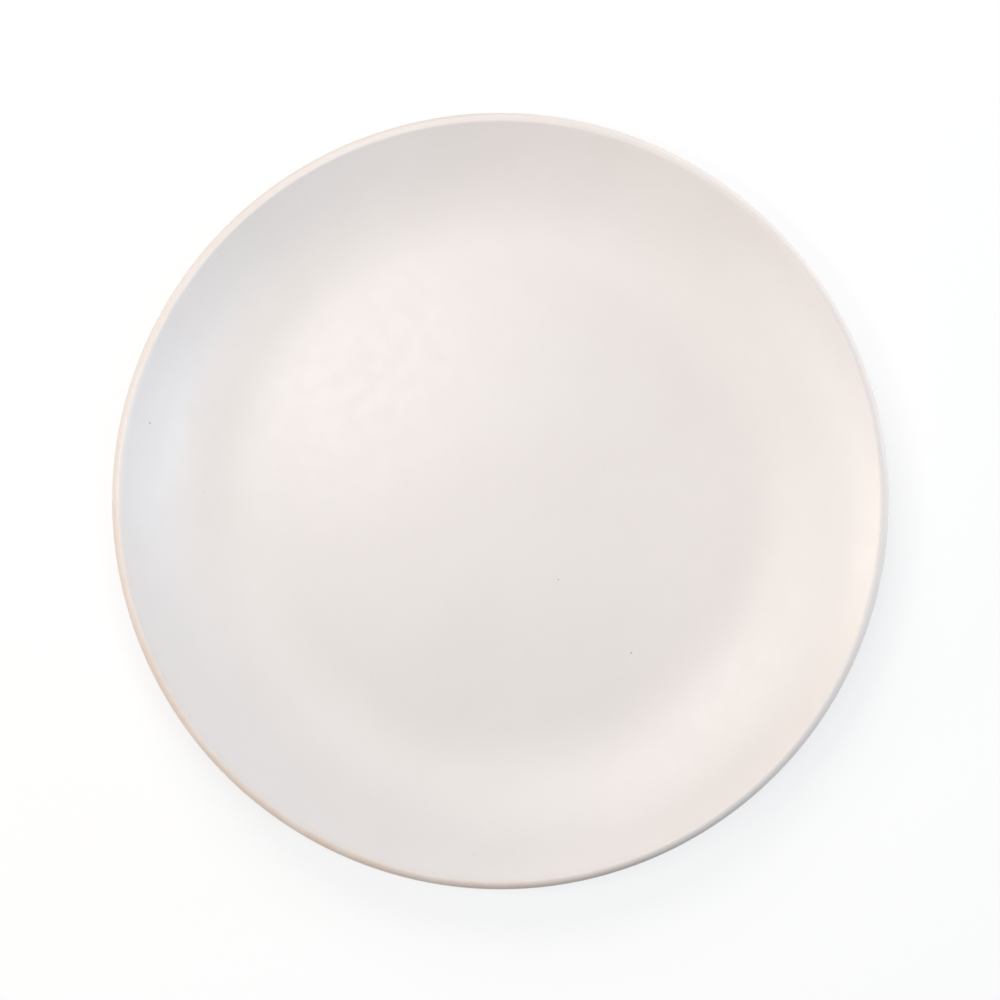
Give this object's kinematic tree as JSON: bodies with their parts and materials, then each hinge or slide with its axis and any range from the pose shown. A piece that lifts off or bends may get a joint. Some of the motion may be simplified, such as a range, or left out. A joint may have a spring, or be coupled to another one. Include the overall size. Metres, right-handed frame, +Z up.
{
  "type": "coupe dinner plate",
  "caption": "Round coupe dinner plate: flat well, rimless wall curving up to a rounded lip, turned foot ring, matt white glaze over stoneware.",
  "frame": {"origin": "centre of the foot ring's bearing face, where the plate stands on the table", "axes": "+Z up along the plate's axis of revolution, -Y towards the front of the picture, +X to its right"},
  "size_m": [0.27, 0.27, 0.022],
  "materials": {
    "stoneware": "matte",
    "matt_glaze": "satin"
  },
  "bodies": {
    "root": {"stoneware_body": "stoneware", "main_glaze": "matt_glaze", "foot_recess_glaze": "matt_glaze"}
  },
  "joints": []
}
